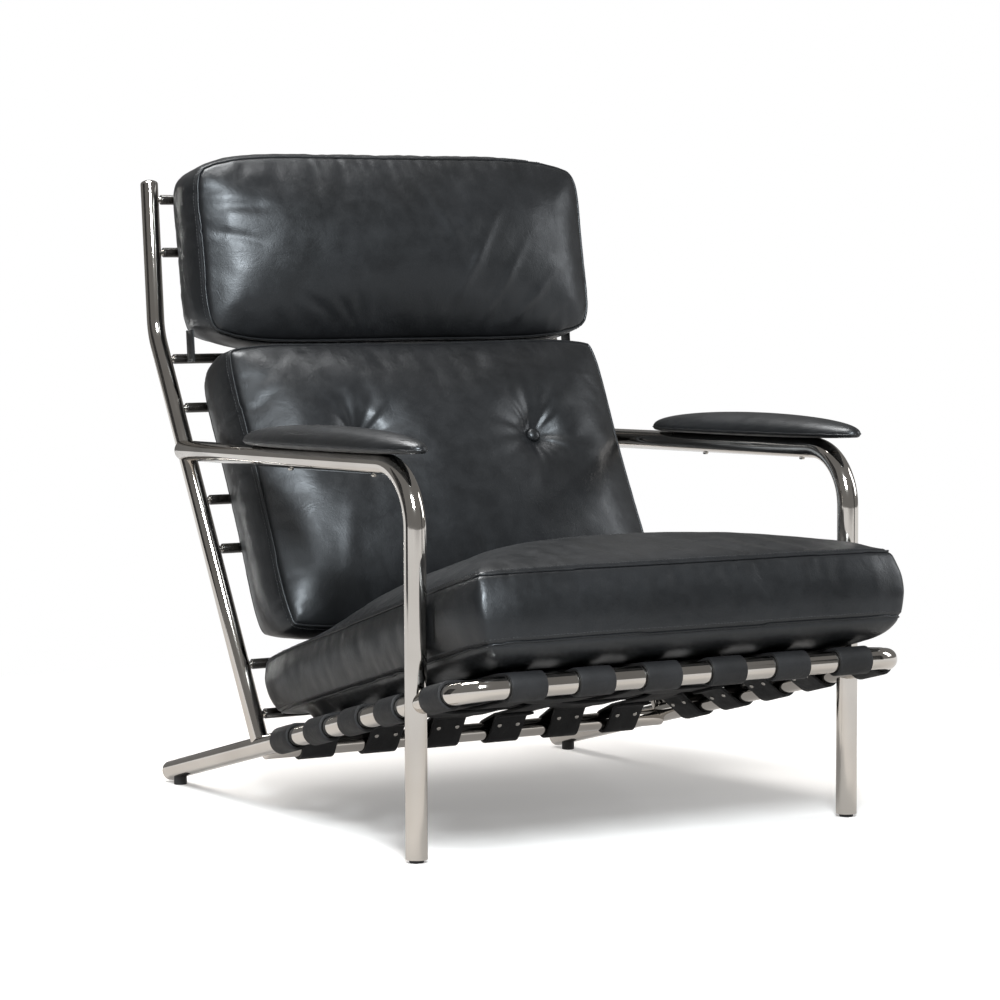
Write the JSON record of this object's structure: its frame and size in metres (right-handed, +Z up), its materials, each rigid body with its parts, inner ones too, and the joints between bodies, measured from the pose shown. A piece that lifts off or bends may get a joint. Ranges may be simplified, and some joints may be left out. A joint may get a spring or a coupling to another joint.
{
  "type": "lounge chair",
  "caption": "Low tubular-steel lounge chair with woven leather webbing, loose seat, back and head cushions and padded arms on a bent tube frame.",
  "frame": {"origin": "on the floor under the middle of the chair's outline", "axes": "+Z up, -Y towards the front, +X to the right as seen from the front"},
  "size_m": [0.728, 0.9649, 0.9136],
  "materials": {
    "polished_steel": "mirror polished plating",
    "cushion_leather": "soft black leather, satin, fine grain",
    "strap_leather": "thick black saddle leather, dull",
    "black_lacquer": "gloss black sleeve",
    "black_plastic": "matt black glide",
    "nickel": "nickel plated"
  },
  "bodies": {
    "root": {"arm_and_leg_left": "polished_steel", "arm_and_leg_right": "polished_steel", "arm_pad_left": "cushion_leather", "arm_pad_plate_left": "polished_steel", "arm_pad_plate_right": "polished_steel", "arm_pad_right": "cushion_leather", "arm_pad_screw_left_front": "nickel", "arm_pad_screw_left_rear": "nickel", "arm_pad_screw_right_front": "nickel", "arm_pad_screw_right_rear": "nickel", "back_cushion": "cushion_leather", "cushion_link_left": "cushion_leather", "cushion_link_right": "cushion_leather", "front_glide_left": "black_plastic", "front_glide_right": "black_plastic", "head_cushion": "cushion_leather", "rear_glide_left": "black_plastic", "rear_glide_right": "black_plastic", "rear_rail": "polished_steel", "rung_pin_1": "polished_steel", "rung_pin_2": "polished_steel", "rung_pin_3": "polished_steel", "rung_pin_4": "polished_steel", "rung_pin_5": "polished_steel", "rung_pin_6": "polished_steel", "rung_pin_7": "polished_steel", "rung_pin_8": "polished_steel", "rung_sleeve_1": "black_lacquer", "rung_sleeve_2": "black_lacquer", "rung_sleeve_3": "black_lacquer", "rung_sleeve_4": "black_lacquer", "rung_sleeve_5": "black_lacquer", "rung_sleeve_6": "black_lacquer", "rung_sleeve_7": "black_lacquer", "rung_sleeve_8": "black_lacquer", "seat_cushion": "cushion_leather", "seat_frame": "polished_steel", "tuft_button_left": "cushion_leather", "tuft_button_right": "cushion_leather", "upright_left": "polished_steel", "upright_right": "polished_steel", "web_strap_cross_1": "strap_leather", "web_strap_cross_2": "strap_leather", "web_strap_cross_3": "strap_leather", "web_strap_cross_4": "strap_leather", "web_strap_cross_5": "strap_leather", "web_strap_lengthwise_1": "strap_leather", "web_strap_lengthwise_2": "strap_leather", "web_strap_lengthwise_3": "strap_leather", "web_strap_lengthwise_4": "strap_leather", "web_strap_lengthwise_5": "strap_leather", "web_strap_lengthwise_6": "strap_leather"}
  },
  "joints": []
}
